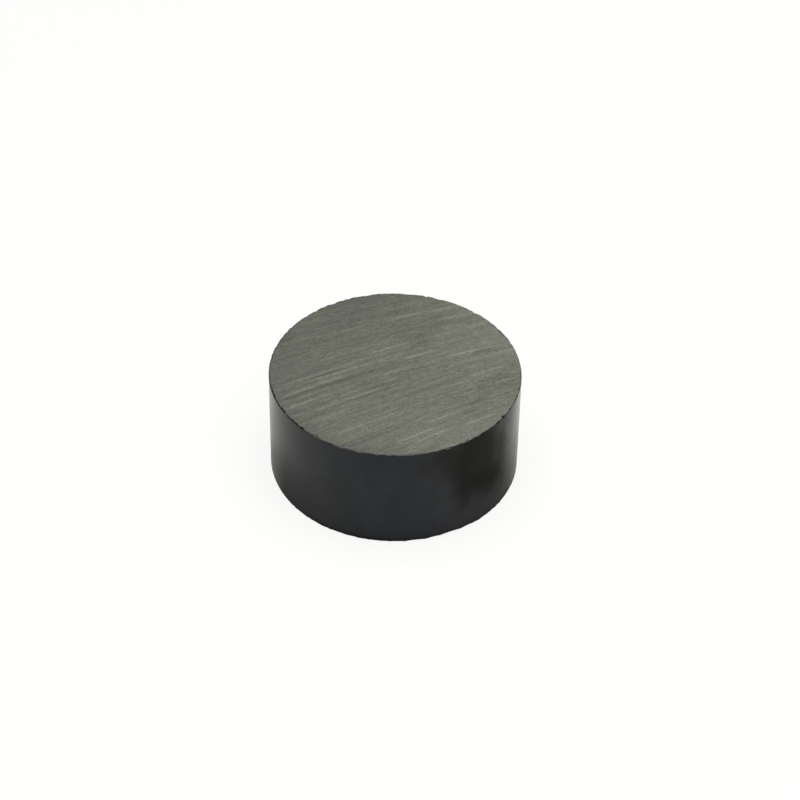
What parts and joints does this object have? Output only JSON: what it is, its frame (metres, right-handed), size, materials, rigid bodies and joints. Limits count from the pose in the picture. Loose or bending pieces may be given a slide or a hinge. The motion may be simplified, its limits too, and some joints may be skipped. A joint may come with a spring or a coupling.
{
  "type": "disc magnet",
  "caption": "Thick round ferrite disc magnet with flat ground pole faces, a plain fired side and finely chipped edges.",
  "frame": {"origin": "centre of the lower ground pole face, on the disc's axis", "axes": "+Z along the disc's axis through the thickness, towards the upper pole face; the grinding marks of the upper face run about 25 degrees from +X towards +Y"},
  "size_m": [0.022, 0.022, 0.01],
  "materials": {
    "ferrite": "satin"
  },
  "bodies": {
    "root": {"magnet": "ferrite"}
  },
  "joints": []
}
